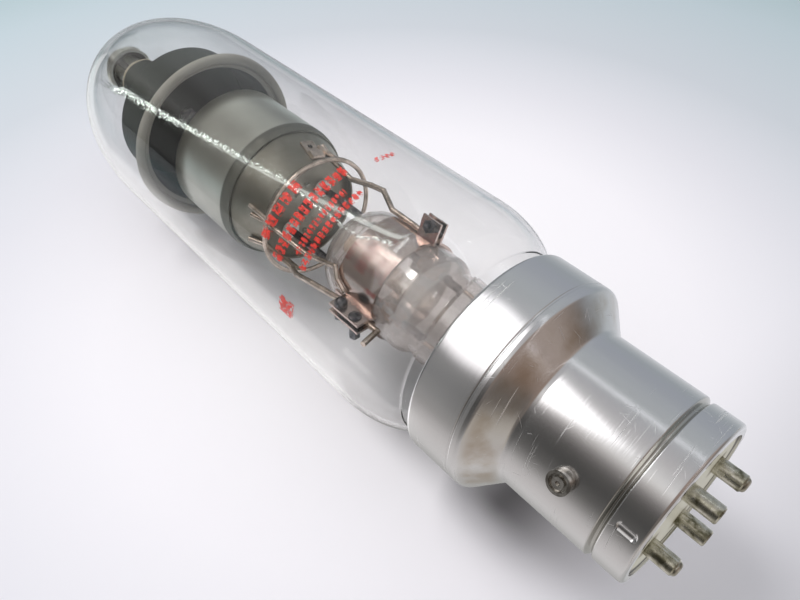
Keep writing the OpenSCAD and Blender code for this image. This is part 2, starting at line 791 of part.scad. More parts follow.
module top_cap() {
    step_z = cap_z + cap_skirt_h;
    bend = 1;
    color("silver") on_axis() revolve(
        concat(
            [[cap_skirt_r, cap_z]],
            arc(cap_skirt_r - bend, step_z - bend, bend, bend, 0, 90, 5),
            [[cap_r, step_z]],
            arc(cap_r - bend, cap_top - bend, bend, bend, 0, 90, 5),
            [[0, cap_top]]),
        concat(
            [[cap_skirt_r - cap_wall, cap_z]],
            [[cap_skirt_r - cap_wall, step_z - cap_wall]],
            [[cap_r - cap_wall, step_z - cap_wall]],
            [[cap_r - cap_wall, cap_top - cap_wall]],
            [[0, cap_top - cap_wall]]));
}

module cap_cement() {
    color("peru") on_axis(cap_z + 0.6)
        tube(cap_skirt_r - cap_wall - touch, nipple_r + touch, nipple_z - cap_z - 0.6);
}

module mercury_drops() {
    trough_r = pow(flare_edge_r - waist_r, 2) / flare_h;
    color("silver") for (d = drops) {
        side = d[0] + touch;
        rise = trough_r - sqrt(pow(trough_r - side, 2) - pow(side, 2));
        on_axis(neck_z + stem_wall + rise + 3 * touch) translate(polar(flare_edge_r - side, d[1], 0))
            sphere(r = d[0], $fn = 32);
    }
}

glass_bulb();
stem_glass();
exhaust_tube();
basing_cement();
base_shell();
base_insulator();
bayonet_pin();
contact_pin(0);  // contact_pin_1
contact_pin(1);  // contact_pin_2
contact_pin(2);  // contact_pin_3
contact_pin(3);  // contact_pin_4
pin_solder();
base_wire(0);  // base_wire_1
base_wire(2);  // base_wire_2
lead_rod(1);  // lead_rod_1
lead_rod(-1);  // lead_rod_2
lead_beads();
strap(true);  // clamp_front
strap(false);  // clamp_back
clamp_screws();
clamp_nuts();
support_rod_1();
support_rod_2();
outer_shield();
inner_shield();
cathode_plate();
cathode_wire();
lead_eyelets();
weld_tab();
cage_ring();
cage_rods();
filament();
anode_bell();
anode_sleeve();
anode_lead();
anode_seal();
top_cap();
cap_cement();
mercury_drops();
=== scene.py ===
import math

import bpy
from mathutils import Matrix, Quaternion, Vector


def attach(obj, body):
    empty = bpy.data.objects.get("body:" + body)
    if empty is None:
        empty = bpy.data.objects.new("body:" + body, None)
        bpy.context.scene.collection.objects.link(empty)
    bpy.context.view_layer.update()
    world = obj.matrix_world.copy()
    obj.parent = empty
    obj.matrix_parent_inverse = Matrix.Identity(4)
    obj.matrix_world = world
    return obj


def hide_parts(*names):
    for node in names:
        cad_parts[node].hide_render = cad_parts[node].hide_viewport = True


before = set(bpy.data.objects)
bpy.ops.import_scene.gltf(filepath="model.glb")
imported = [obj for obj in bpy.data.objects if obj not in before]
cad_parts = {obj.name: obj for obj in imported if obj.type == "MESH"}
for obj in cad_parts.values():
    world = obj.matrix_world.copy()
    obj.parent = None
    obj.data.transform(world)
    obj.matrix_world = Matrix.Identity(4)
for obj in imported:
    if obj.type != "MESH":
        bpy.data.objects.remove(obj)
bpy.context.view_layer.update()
scene = bpy.context.scene
scene.view_settings.view_transform = "Standard"


# Camera. It keeps the photograph's view of the tube: close to the base, a little
# below it, and turned so that the tube runs from lower right to upper left.
eye = Vector((0, -0.18295, -0.00552))
right = Vector((0.6175, 0.4144, -0.6686)).normalized()
forward = Vector((-0.0204, 0.8581, 0.5130))
forward = (forward - right * forward.dot(right)).normalized()
down = forward.cross(right)
sensor_mm = 36
focal_mm = 31.371
nearest = 0.01
lens = bpy.data.cameras.new("camera")
lens.sensor_width = sensor_mm
lens.lens = focal_mm
lens.clip_start = nearest
camera = bpy.data.objects.new("camera", lens)
camera.matrix_world = Matrix((
    (right.x, -down.x, -forward.x, eye.x),
    (right.y, -down.y, -forward.y, eye.y),
    (right.z, -down.z, -forward.z, eye.z),
    (0, 0, 0, 1)))
scene.collection.objects.link(camera)
scene.camera = camera


# Pale surface. The tube stands on one pale floor, and the same paper rises behind it,
# where the photograph's surface touches the side of the bulb. Both show on one side only.
class Wire:
    """The output of a shader node. Arithmetic on it adds the nodes that do it."""

    def __init__(self, tree, out):
        self.tree = tree
        self.out = out

    def node(self, kind, settings=None, inputs=None, out=0):
        made = self.tree.nodes.new(kind)
        for name, value in (settings or {}).items():
            if name == "stops":
                set_stops(made.color_ramp, value)
            else:
                setattr(made, name, value)
        for key, value in (inputs or {}).items():
            if isinstance(value, Wire):
                self.tree.links.new(value.out, made.inputs[key])
            else:
                made.inputs[key].default_value = value
        return Wire(self.tree, made.outputs[out])

    def vector(self):
        return self.out.type in ("VECTOR", "RGBA")

    def maths(self, operation, a, b=None):
        if any(isinstance(v, Wire) and v.vector() or isinstance(v, tuple) for v in (a, b)):
            a, b = ((v,) * 3 if isinstance(v, (int, float)) else v for v in (a, b))
            if operation == "MULTIPLY" and isinstance(b, Wire) and not b.vector():
                return self.node("ShaderNodeVectorMath", {"operation": "SCALE"}, {0: a, 3: b})
            return self.node("ShaderNodeVectorMath", {"operation": operation}, {0: a, 1: b})
        inputs = {0: a} if b is None else {0: a, 1: b}
        return self.node("ShaderNodeMath", {"operation": operation}, inputs)

    def __add__(self, other):
        return self.maths("ADD", self, other)

    __radd__ = __add__

    def __sub__(self, other):
        return self.maths("SUBTRACT", self, other)

    def __rsub__(self, other):
        return self.maths("SUBTRACT", other, self)

    def __mul__(self, other):
        return self.maths("MULTIPLY", self, other)

    __rmul__ = __mul__

    def __truediv__(self, other):
        return self.maths("DIVIDE", self, other)

    def __rtruediv__(self, other):
        return self.maths("DIVIDE", other, self)

    def __abs__(self):
        return self.maths("ABSOLUTE", self)

    def part(self, axis):
        return self.node("ShaderNodeSeparateXYZ", inputs={0: self}, out=axis)

    def measure(self, operation, *other):
        """One number from one or two vectors, such as their DISTANCE."""
        vectors = dict(enumerate((self, *other)))
        return self.node("ShaderNodeVectorMath", {"operation": operation}, vectors, out="Value")

    def ramp(self, *stops):
        """A colour for each value, from pairs of a place and a colour."""
        return self.node("ShaderNodeValToRGB", {"stops": stops}, {0: self})

    def span(self, low, high, to_low=0.0, to_high=1.0):
        """A soft step from to_low, below low, to to_high, above high."""
        return self.node(
            "ShaderNodeMapRange", {"interpolation_type": "SMOOTHSTEP"},
            {0: self, 1: low, 2: high, 3: to_low, 4: to_high})

    def band(self, low, low_end, high_end, high):
        """1 from low_end to high_end, falling softly to 0 below low and above high."""
        return self.span(low, low_end) * self.span(high, high_end)

    def between(self, a, b):
        """Colour a where this is 0, and colour b where it is 1."""
        return self.node(
            "ShaderNodeMix", {"data_type": "RGBA"}, {0: self, 6: colour(a), 7: colour(b)}, out=2)


def set_stops(ramp, stops):
    while len(ramp.elements) < len(stops):
        ramp.elements.new(0.5)
    for element, (place, shade) in zip(ramp.elements, stops):
        element.position = place
        element.color = colour(shade)


def colour(value):
    """Four numbers for a colour of three. A wire stays as it is."""
    if isinstance(value, Wire):
        return value
    return (*value, 1.0) if len(value) == 3 else value


def new_material(name):
    """An empty material, and a wire that starts its tree: a point on the object, in metres."""
    material = bpy.data.materials.new(name)
    material.use_nodes = True
    tree = material.node_tree
    tree.nodes.clear()
    start = tree.nodes.new("ShaderNodeTexCoord")
    return material, Wire(tree, start.outputs["Object"])


def show(shader):
    """Makes a shader the surface of its material or world."""
    world = shader.tree in [w.node_tree for w in bpy.data.worlds]
    end = shader.tree.nodes.new("ShaderNodeOutputWorld" if world else "ShaderNodeOutputMaterial")
    shader.tree.links.new(shader.out, end.inputs["Surface"])


def mix_of(share, first, second):
    """The first shader where share is 0, and the second where it is 1."""
    return first.node("ShaderNodeMixShader", inputs={0: share, 1: first, 2: second})


def noise_of(p, scale, detail=3.0, stretch=(1, 1, 1)):
    spread = p * stretch if stretch != (1, 1, 1) else p
    return p.node("ShaderNodeTexNoise", inputs={"Vector": spread, "Scale": scale, "Detail": detail})


def vector_of(x, y, z=0.0):
    return x.node("ShaderNodeCombineXYZ", inputs={0: x, 1: y, 2: z})


def mesh_object(name, points, faces, material):
    """A new object of points in metres, with one material."""
    mesh = bpy.data.meshes.new(name)
    mesh.from_pydata(points, [], faces)
    mesh.materials.append(material)
    mesh.validate()
    made = bpy.data.objects.new(name, mesh)
    scene.collection.objects.link(made)
    return made


def sheet_of_paper(name, middle, half_across, half_up, shade):
    """A large sheet that shows only from its front. shade gives its colour from a point."""
    material, p = new_material(name + "_paper")
    front = p.node("ShaderNodeBsdfDiffuse", inputs={"Color": shade(p)})
    clear = p.node("ShaderNodeBsdfTransparent")
    show(mix_of(p.node("ShaderNodeNewGeometry", out="Backfacing"), front, clear))
    corners = [
        middle - half_across - half_up, middle + half_across - half_up,
        middle + half_across + half_up, middle - half_across + half_up]
    made = mesh_object(name, corners, [(0, 1, 2, 3)], material)
    made.visible_diffuse = False
    made.visible_glossy = False
    made.visible_shadow = False


def floor_shade(p):
    return noise_of(p, 9.0, 2.0).ramp((0.3, (0.80, 0.80, 0.81)), (0.7, (0.84, 0.84, 0.85)))


floor_half = 3.0
sheet_of_paper(
    "floor", Vector((0, 0, 0)), Vector((floor_half, 0, 0)), Vector((0, floor_half, 0)), floor_shade)

bulb_side = Vector((-0.557, 0.830, 0)).normalized()
bulb_reach = 0.0374
up = Vector((0, 0, 1))
along = up.cross(bulb_side)
pool_across = -0.02
pool_height = 0.130
pool_reach = 0.9


def backdrop_shade(p):
    """Painted light and shade: white in a painted pool of light behind the tube, bluish farther
    off, with a painted shadow near the base and painted shade low down.
    """
    across = p.measure("DOT_PRODUCT", tuple(along))
    height = p.part(2)
    off = vector_of(across - pool_across, height - pool_height).measure("LENGTH")
    # Painted light: a white pool of light behind the tube, fading to bluish grey farther off.
    paper_and_painted_light = (off / pool_reach).ramp(
        (0.06, (1.0, 0.97, 0.99)), (0.12, (0.94, 0.91, 0.94)), (0.18, (0.78, 0.77, 0.81)),
        (0.25, (0.62, 0.65, 0.69)), (0.35, (0.54, 0.62, 0.66)), (0.44, (0.43, 0.55, 0.57)),
        (0.60, (0.60, 0.65, 0.67)), (1.0, (0.78, 0.80, 0.82)))
    behind = across.span(-0.050, -0.030)
    # Painted shadow: the tube's contact shadow near its base, with a darker core.
    painted_contact_shadow = across.span(0.031, 0.012) * (behind * height.band(0.004, 0.042, 0.084, 0.122))
    painted_shadow_core = across.span(0.023, 0.014) * (behind * height.band(0.029, 0.050, 0.046, 0.062))
    # Painted shade: the paper is darker towards the bottom.
    low = height.span(0.035, -0.025)
    return paper_and_painted_light * ((1 - painted_contact_shadow * 0.50) * (1 - painted_shadow_core * 0.62) * (1 - low * 0.18))


backdrop_half = 2.5
sheet_of_paper(
    "backdrop", bulb_side * bulb_reach, up * backdrop_half, along * backdrop_half, backdrop_shade)


# Light. One soft lamp stands at the base's side, and the room gives the rest: plain grey
# with a window, a dark part, a brown floor and a strip light, which metal and glass mirror.
lamp_turn = math.radians(-66)
lamp_rise = math.radians(27)
lamp_roll = math.radians(45)
lamp_far = 0.75
lamp_wide = 0.3
lit_point = Vector((0, 0, 0.06))
lamp_data = bpy.data.lights.new("soft_lamp", "AREA")
lamp_data.shape = "RECTANGLE"
lamp_data.size = lamp_wide
lamp_data.size_y = lamp_wide
lamp_data.energy = 2.2
lamp = bpy.data.objects.new("soft_lamp", lamp_data)
lamp.location = lit_point + lamp_far * Vector((
    math.cos(lamp_turn) * math.cos(lamp_rise), math.sin(lamp_turn) * math.cos(lamp_rise),
    math.sin(lamp_rise)))
aim = (lit_point - lamp.location).to_track_quat("-Z", "Y")
lamp.rotation_euler = (aim @ Quaternion((0, 0, 1), lamp_roll)).to_euler()
lamp.visible_glossy = False
lamp.visible_transmission = False
scene.collection.objects.link(lamp)

degrees = 180 / math.pi


def turn_of(p):
    """Direction round the tube's axis, in degrees."""
    return p.maths("ARCTAN2", p.part(1), p.part(0)) * degrees


world = bpy.data.worlds.new("room")
world.use_nodes = True
world.node_tree.nodes.clear()
scene.world = world
look = Wire(world.node_tree, world.node_tree.nodes.new("ShaderNodeTexCoord").outputs["Generated"])
side = turn_of(look)
rise = look.maths("ARCSINE", look.part(2)) * degrees


def around(*stops):
    """Colours of the room at directions from -180 to 180 degrees."""
    return ((side + 180) / 360).ramp(*[((turn + 180) / 360, shade) for turn, shade in stops])


walls = around(
    (-180, (0.44, 0.42, 0.41)),
    (-168, (0.22, 0.21, 0.20)),
    (-155, (0.10, 0.095, 0.09)),
    (-135, (0.055, 0.053, 0.05)),
    (-118, (0.08, 0.075, 0.07)),
    (-108, (0.18, 0.165, 0.16)),
    (-99, (0.46, 0.43, 0.41)),
    (-90, (0.80, 0.78, 0.76)),
    (-82, (0.62, 0.61, 0.60)),
    (-68, (0.48, 0.46, 0.46)),
    (-47, (0.40, 0.40, 0.41)),
    (-38, (0.36, 0.37, 0.38)),
    (-26, (0.40, 0.42, 0.43)),
    (16, (0.33, 0.35, 0.39)),
    (37, (0.33, 0.36, 0.38)),
    (57, (0.54, 0.56, 0.58)),
    (78, (0.80, 0.80, 0.84)),
    (103, (0.40, 0.40, 0.39)),
    (123, (0.45, 0.44, 0.43)),
    (143, (0.62, 0.60, 0.59)),
    (164, (0.56, 0.53, 0.52)),
    (180, (0.44, 0.42, 0.41)))
ground = around(
    (-180, (0.42, 0.38, 0.33)),
    (-156, (0.12, 0.105, 0.095)),
    (-125, (0.15, 0.13, 0.115)),
    (-90, (0.27, 0.20, 0.165)),
    (-55, (0.31, 0.245, 0.21)),
    (-6, (0.34, 0.28, 0.245)),
    (11, (0.26, 0.21, 0.18)),
    (28, (0.14, 0.125, 0.115)),
    (60, (0.50, 0.48, 0.48)),
    (154, (0.50, 0.47, 0.45)),
    (180, (0.42, 0.38, 0.33)))
skirting = rise.span(-22, -42)
blinds = noise_of(vector_of(side * 0.45, rise * 0.02), 1.0, 3.0)
dim_above = rise.span(32, 44, 1.0, 0.62)
room = skirting.between(walls, ground) * (dim_above * (blinds * 0.7 + 0.65))
shelf_turn = -142
room = room + rise.span(15, 25) * (abs(side - shelf_turn).span(36, 14) * 0.15)
dark_corner = rise.span(36, 46) * (side.span(-138, -150) * 0.75)
room = room * (1 - dark_corner)
room = room + rise.span(22, 32) * (side.band(96, 118, 160, 176) * 0.75)

window_turn = -80
window_rise = 24
window = (abs(side - window_turn) / 37 + abs(rise - window_rise) / 16).span(1.06, 0.80)
strip_turn = -56
strip_foot = 32
strip_lean = 2.25
off_strip = abs(side - strip_turn + (rise - strip_foot) * strip_lean)
strip_light = off_strip.span(3.2, 1.2) * rise.band(28, 33, 60, 64)
pane_turn = -63
pane_rise = 30.6
pane_off = abs(side - pane_turn) / 9
pane = pane_off.maths("MAXIMUM", pane_off, abs(rise - pane_rise) / 1.7).span(1.06, 0.94)
gleam_turn = -36
gleam = abs(side - gleam_turn).span(1.6, 0.5) * rise.span(22, 17)
glow_turn = -25
ceiling_glow = rise.span(36, 46) * (abs(side - glow_turn).span(42, 20) * 0.34)


def ray(name):
    """1 where the light's path so far has this property, and 0 elsewhere."""
    fact = look.node("ShaderNodeLightPath", out=name)
    return fact.maths("GREATER_THAN", fact, 0.5)


def shine(shade):
    return look.node("ShaderNodeBackground", inputs={"Color": colour(shade)})


through_glass = ray("Transmission Depth")
mirrored = shine(
    room + window * (1.15, 1.12, 1.13)
    + (pane * 8 + ceiling_glow) * through_glass
    + (strip_light * (7.0, 7.5, 7.2) + gleam * (1.3, 1.3, 1.35)) * (1 - through_glass))
soft = shine((0.72, 0.73, 0.75))
pale = shine((0.78, 0.80, 0.82))
reflected = ray("Glossy Depth") * (1 - ray("Is Diffuse Ray"))
straight = look.maths("MAXIMUM", ray("Is Camera Ray"), ray("Is Transmission Ray"))
show(mix_of(straight * (1 - reflected), mix_of(reflected, soft, mirrored), pale))


# Base shell. One spun aluminium shell with a turned-in rim, a groove, a flare, a beaded
# skirt and a crimp pressed into its ring. It is polished and scratched, with painted shade
# in its groove and a painted brown reflection in patches on its flare.
# Sizes are in mm, and heights are counted from its rim, which lies above the pins' tips.
MM = 0.001
rim = 7.5
skin = 0.7
rim_bend = 1.3
edge_bend = 0.5
ring_r = 23.7
ring_top = 8.2
groove_middle = 9.35
barrel_r = 24.1
barrel_foot = 10.6
flare_angle = 48
flare_foot = 35.6
foot_bend = 2.4
shoulder = 45.38
shoulder_bend = 2.2
skirt_r = 32.7
skirt_bead = 46.8
skirt_lip = 60.7
rim_hole_r = 21.1
crease = math.radians(35)


def arc(x, z, wide_by, high_by, start, end, count):
    """Points on part of an ellipse."""
    turns = [math.radians(start + (end - start) * i / count) for i in range(count + 1)]
    return [(x + wide_by * math.cos(t), z + high_by * math.sin(t)) for t in turns]


def rows(r, low, high, count):
    """Evenly spaced points up a straight wall."""
    return [(r, low + (high - low) * i / count) for i in range(count + 1)]


def level(z):
    """The height in metres, above the pins' tips, of a height in mm above the rim."""
    return (z + rim) * MM


def lathe(name, line, material, node, steps, press=None):
    """Turns a closed line of (radius, height) into a smooth solid that takes the place of a
    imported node. press may move a point inwards."""
    points, rings = [], []
    for r, z in line:
        ring = []
        for i in range(steps if r > 0 else 1):
            turn = 2 * math.pi * i / steps
            at = (r - (press(turn, r, z) if press else 0)) * MM
            ring.append(len(points))
            points.append((at * math.cos(turn), at * math.sin(turn), level(z)))
        rings.append(ring)
    faces = []
    for low, high in zip(rings, rings[1:] + rings[:1]):
        for i in range(steps):
            corners = dict.fromkeys((
                low[i % len(low)], low[(i + 1) % len(low)],
                high[(i + 1) % len(high)], high[i % len(high)]))
            if len(corners) > 2:
                faces.append(tuple(corners))
    made = mesh_object(name, points, faces, material)
    made.data.shade_smooth()
    made.data.set_sharp_from_angle(angle=crease)
    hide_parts(node)
    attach(made, "root")


def shell_line(t):
    """The shell's outer line at t = 0, and its inner line at t = skin."""
    bend = rim_bend - t
    return (
        arc(ring_r - rim_bend, rim_bend, bend, bend, -90, 0, 10)
        + rows(ring_r - t, 1.5, 8.1, 1 if t else 44)
        + arc(ring_r - edge_bend - t, ring_top, edge_bend, edge_bend, 0, 50, 5)
        + arc(ring_r - 0.4 - t, groove_middle, 0.5, 0.55, 230, 130, 8)
        + arc(barrel_r - 0.9 - t, barrel_foot, 0.9, edge_bend, -50, 0, 6)
        + rows(barrel_r - t, 11, 35.2, 6)
        + arc(barrel_r + foot_bend, flare_foot, foot_bend + t, foot_bend + t,
              180, 180 - flare_angle, 16)
        + arc(skirt_r - shoulder_bend, shoulder, shoulder_bend - t, shoulder_bend - t,
              -flare_angle, 0, 16)
        + arc(skirt_r - t, skirt_bead, 0.3, 0.45, -90, -270, 10)
        + rows(skirt_r - t, 47.6, 60.5, 5)
        + arc(skirt_r - rim_bend, skirt_lip, bend, bend, 0, 70, 10))


crimp_turn = math.radians(-121)
crimp_middle = 4.3
crimp_straight = 1.5
crimp_half = 1.15
crimp_deep = 0.55


def crimp(turn, r, z):
    """Depth of the pressed crimp in the bottom ring."""
    if r < ring_r - 0.1 or z > ring_top:
        return 0
    aside = ring_r * ((turn - crimp_turn + math.pi) % (2 * math.pi) - math.pi)
    above = max(abs(z - crimp_middle) - crimp_straight, 0)
    off = math.hypot(aside, above) / crimp_half
    return crimp_deep * (1 - off ** 2) ** 0.8 if off < 1 else 0


def principled(p, **inputs):
    """A Principled shader; names are written with _ for a space."""
    return p.node("ShaderNodeBsdfPrincipled", inputs={
        name.replace("_", " "): colour(value) if isinstance(value, tuple) else value
        for name, value in inputs.items()})


def bump(p, height, strength, distance):
    return p.node("ShaderNodeBump", inputs={
        "Strength": strength, "Distance": distance, "Height": height})


def dashes(p, tilt, amount, long, thin):
    """Short straight scratches, as 0 to 1. They lie on the shell's wall, unrolled flat, and
    tilt is their angle to its circles in degrees."""
    wall_r = 0.026
    a = math.radians(tilt)
    u = turn_of(p) * (wall_r / degrees)
    v = p.part(2)
    flat = vector_of(
        (u * math.cos(a) + v * math.sin(a)) * long, (v * math.cos(a) - u * math.sin(a)) * thin,
        tilt * 1.7)
    return noise_of(flat, 1.0, 0.0).span(amount, amount + 0.05)


scratches = (
    (2, 0.755, 55.0, 3200.0),
    (-24, 0.815, 160.0, 4200.0),
    (38, 0.82, 160.0, 4200.0),
    (83, 0.82, 120.0, 3600.0),
    (-62, 0.82, 190.0, 3600.0))
metal, p = new_material("spun_aluminium")
height = p.part(2)
patches = noise_of(p, 70.0, 4.0)
fine = noise_of(p, 1.0, 2.0, (500, 500, 5000))
handled = noise_of(p, 45.0, 2.0).span(0.42, 0.62)
worn = sum(dashes(p, *kind) for kind in scratches) * handled
lines = noise_of(p, 1.0, 3.0, (30, 30, 1600))
# Painted reflection: brown patches on the flare band stand in for the brown that it mirrors.
painted_flare_reflection = height.band(level(36), level(39), level(42), level(44.5)) * patches.span(0.35, 0.65)
# Painted shade: the groove between the ring and the barrel is darkened olive.
painted_groove_shade = height.band(
    level(ring_top), level(ring_top + 0.6), level(barrel_foot - 0.5), level(barrel_foot + 0.2))
tone = painted_flare_reflection.between((0.86, 0.86, 0.87), (0.60, 0.53, 0.45))
tone = (painted_groove_shade * 0.55).between(tone, (0.34, 0.33, 0.27))
tone = worn.span(0.2, 0.9).between(tone, (0.97, 0.97, 0.97))
rough = 0.11 + patches * 0.05 + fine * 0.03
show(principled(
    p, Base_Color=tone, Metallic=1.0, Anisotropic=0.85,
    Roughness=worn.span(0.1, 0.9, 0.0, 0.30) + rough,
    Normal=bump(p, lines * 0.35 + worn * -0.8, 0.5, 0.00003)))
lathe(
    "shell", shell_line(0) + shell_line(skin)[::-1] + [(rim_hole_r, skin), (rim_hole_r, 0)],
    metal, "base_shell", steps=384, press=crimp)


# Base insulator. A disc of glazed cream ceramic, held in the shell's bottom by the rim.
# It is stained brown round the pins and dark along its edge.
pin_circle = 12.8
pin_turn = 13.5
pin_edge = 2.4
stain_reach = 5.2


def finish(material, *nodes):
    """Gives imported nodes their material."""
    for node in nodes:
        for material_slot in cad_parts[node].material_slots:
            material_slot.material = material


ceramic, p = new_material("stained_ceramic")
flat = p * (1, 1, 0)
ring_stain = 0
for quarter in range(4):
    turn = math.radians(pin_turn + 90 * quarter)
    pin = (pin_circle * MM * math.cos(turn), pin_circle * MM * math.sin(turn), 0)
    ring_stain = flat.measure("DISTANCE", pin).span(stain_reach * MM, pin_edge * MM) + ring_stain
dirt = (ring_stain * (noise_of(p, 260.0) * 0.9 + 0.35)).span(0.1, 0.9)
cream = dirt.between((0.74, 0.70, 0.56), (0.36, 0.30, 0.18))
cream = flat.measure("LENGTH").span(0.0192, 0.0210).between(cream, (0.10, 0.08, 0.06))
show(principled(p, Base_Color=cream, Roughness=0.42))
finish(ceramic, "base_insulator")


# Contact pins. Four hollow brass pins, flanged through the insulator, tarnished olive brown
# and worn bright in spots, with solder in them. Two end in a round drop of it.
brass, p = new_material("tarnished_brass")
tarnish = noise_of(p, 420.0, 4.0)
tone = tarnish.ramp(
    (0.36, (0.20, 0.19, 0.13)), (0.47, (0.52, 0.50, 0.40)), (0.62, (0.78, 0.76, 0.68)))
show(principled(
    p, Base_Color=tone, Metallic=1.0, Roughness=tarnish.span(0.35, 0.7, 0.30, 0.16),
    Normal=bump(p, tarnish, 0.6, 0.00012)))
finish(brass, "contact_pin_1", "contact_pin_2", "contact_pin_3", "contact_pin_4")


def mottled(name, scale, detail, dark_tone, light_tone, roughness, pits, depth, metallic=1.0):
    """A material of two tones, in spots of one noise that also pits it. Each tone is a pair of
    the noise's value and a colour."""
    material, p = new_material(name)
    spots = noise_of(p, scale, detail)
    show(principled(
        p, Base_Color=spots.ramp(dark_tone, light_tone), Metallic=metallic, Roughness=roughness,
        Normal=bump(p, spots, pits, depth)))
    return material


finish(mottled(
    "old_solder", 500.0, 3.0, (0.35, (0.25, 0.23, 0.18)), (0.65, (0.62, 0.59, 0.50)),
    roughness=0.3, pits=0.5, depth=0.0001), "pin_solder")


# Bayonet pin. A turned stud, riveted through the barrel, with a round groove in its face.
# It locks the tube in its socket, and is worn bright in spots.
finish(mottled(
    "worn_stud", 500.0, 4.0, (0.35, (0.30, 0.28, 0.25)), (0.6, (0.78, 0.76, 0.72)),
    roughness=0.26, pits=0.4, depth=0.0001), "bayonet_pin")


# Top cap and cements. The cap is drawn brass, held on the nipple by grey cement, and the
# base is held on the neck by brown cement.
finish(mottled(
    "drawn_cap", 300.0, 4.0, (0.36, (0.46, 0.48, 0.40)), (0.6, (0.76, 0.79, 0.72)),
    roughness=0.36, pits=0.3, depth=0.0001), "top_cap")
finish(mottled(
    "brown_cement", 900.0, 4.0, (0.3, (0.30, 0.20, 0.12)), (0.7, (0.52, 0.38, 0.25)),
    roughness=0.85, pits=0.6, depth=0.0002, metallic=0.0), "basing_cement")
finish(mottled(
    "grey_cement", 900.0, 4.0, (0.3, (0.46, 0.50, 0.46)), (0.7, (0.64, 0.68, 0.63)),
    roughness=0.85, pits=0.6, depth=0.0002, metallic=0.0), "cap_cement")


# Glass bulb. Blown clear glass, fused to the stem at its neck. A line of fine drops and a
# thin film on the dome lie on it, and the outside carries some plain red marks.
bulb_wall = 1.4
bulb_r = 37.2
neck_r = 29.46
belly_r = 24
belly_z = 86
dome_foot = 217
dome_high = 60
nipple_r = 8.6
nipple_hole_r = 7.22
nipple_top = 281


def bulb_line(t):
    """The bulb's outer line at t = 0, and its inner line at t = bulb_wall."""
    return (
        [(neck_r - t, 49.0)] + arc(neck_r - t, 58, 0, 8, -90, 0, 6)
        + arc(belly_r, belly_z, bulb_r - belly_r - t, 23 - t, -61, 0, 32)
        + rows(bulb_r - t, 90, 214, 10)
        + arc(0, dome_foot, bulb_r - t, dome_high - t, 0, 72.8, 56))


nipple_line = [
    (9.5, 275.3), (8.8, 276.5), (nipple_r, 277.9), (nipple_r, nipple_top),
    (nipple_hole_r, nipple_top), (nipple_hole_r, 276.9), (7.82, 275.7)]


def clear_in_shadow(shader):
    """The same shader, but light goes straight through it to what lies behind."""
    shadow = shader.node("ShaderNodeLightPath", out="Is Shadow Ray")
    return mix_of(shadow, shader, shader.node("ShaderNodeBsdfTransparent"))


glass, p = new_material("bulb_glass")
height = p.part(2)
turn = turn_of(p)
beads = noise_of(p, 620.0, 2.0)
streak_turn = -86.5
streak_bend = level(131.5)
streak_lean = 190
climb = height - streak_bend
climb = climb.maths("MAXIMUM", climb, 0)
aside = turn - streak_turn + climb * streak_lean - height.span(level(98.5), level(86.5)) * 6
aside = aside + (noise_of(p, 240.0, 2.0) - 0.5) * 3
wet = (abs(aside) * height.span(level(102.5), level(192.5), 3.0, 1.0)).span(2.6, 1.0)
wet = wet * height.band(level(82.5), level(88.5), level(217.5), level(242.5))
body = principled(
    p, Base_Color=(0.975, 0.975, 0.97), Roughness=0.0, Transmission_Weight=1.0, IOR=1.47,
    Normal=bump(p, beads * wet, 0.4, 0.00006))
film = principled(
    p, Base_Color=(0.80, 0.84, 0.80), Metallic=1.0, Roughness=0.14,
    Normal=bump(p, beads, 0.7, 0.00012))
spots = noise_of(p, 1300.0, 1.0).span(0.50, 0.58) * wet
on_streak = spots * height.span(level(132.5), level(182.5), 0.45, 0.75)
on_dome = height.span(level(197.5), level(254.5), 0.018, 0.045)
filmed_glass = mix_of(on_streak + on_dome, body, film)


def mark_row(turn_low, turn_high, z_low, z_high, step, fill):
    """A row of plain bars round the bulb, as 0 or 1. Turns and step are in degrees."""
    place = (turn - turn_low) / step
    bars = place.maths("FRACT", place).span(fill + 0.03, fill - 0.03)
    inside = turn.maths("GREATER_THAN", turn, turn_low) * turn.maths("LESS_THAN", turn, turn_high)
    low, high = level(z_low), level(z_high)
    at_height = turn.maths("GREATER_THAN", height, low) * turn.maths("LESS_THAN", height, high)
    return bars * (inside * at_height)


marks = sum(mark_row(*row) for row in (
    (-112, -82, 122.5, 126.1, 6.0, 0.72),
    (-116, -66, 114.7, 118.3, 3.4, 0.66),
    (-108, -74, 109.3, 111.3, 2.1, 0.6),
    (-112, -70, 105.3, 107.3, 2.7, 0.7),
    (-52, -40, 113.0, 114.4, 3.0, 0.6),
    (-137, -129, 105.5, 111.5, 8.0, 0.9)))
mark_wear = noise_of(p, 900.0, 3.0).span(0.40, 0.54)
red = principled(p, Base_Color=(0.72, 0.045, 0.03), Roughness=0.35)
show(clear_in_shadow(mix_of(marks * (mark_wear * 0.86), filmed_glass, red)))
lathe(
    "bulb", bulb_line(0) + nipple_line + bulb_line(bulb_wall)[::-1],
    glass, "glass_bulb", steps=256)


# Stem. A re-entrant glass stem, flared where it is fused to the neck, with a waist and a
# wide round top that the clamp grips. Its glass has gone brownish grey.
stem_wall = 1.3
waist_r = 14.2
stem_r = 16.6
stem_dome_foot = 112
stem_top = 126


def stem_line(t):
    """The stem's outer line at t = 0, and its inner line at t = stem_wall."""
    widening = [
        ((waist_r + stem_r) / 2 - t - (stem_r - waist_r) / 2 * math.cos(math.pi * i / 14),
         81.5 + 6.0 * i / 14) for i in range(15)]
    dome = arc(0, stem_dome_foot, stem_r - t, stem_top - stem_dome_foot - t, 0, 90, 28)
    return (
        arc(waist_r + 13.84, 62.3, 13.84 + t, 12 + t, -90, -180, 24)
        + rows(waist_r - t, 64, 79.4, 4)
        + arc(waist_r - t, 80.5, 0, 1, -90, 0, 2)
        + widening
        + rows(stem_r - t, 88, 111, 4)
        + dome[:-1] + [(0, stem_top - t)])


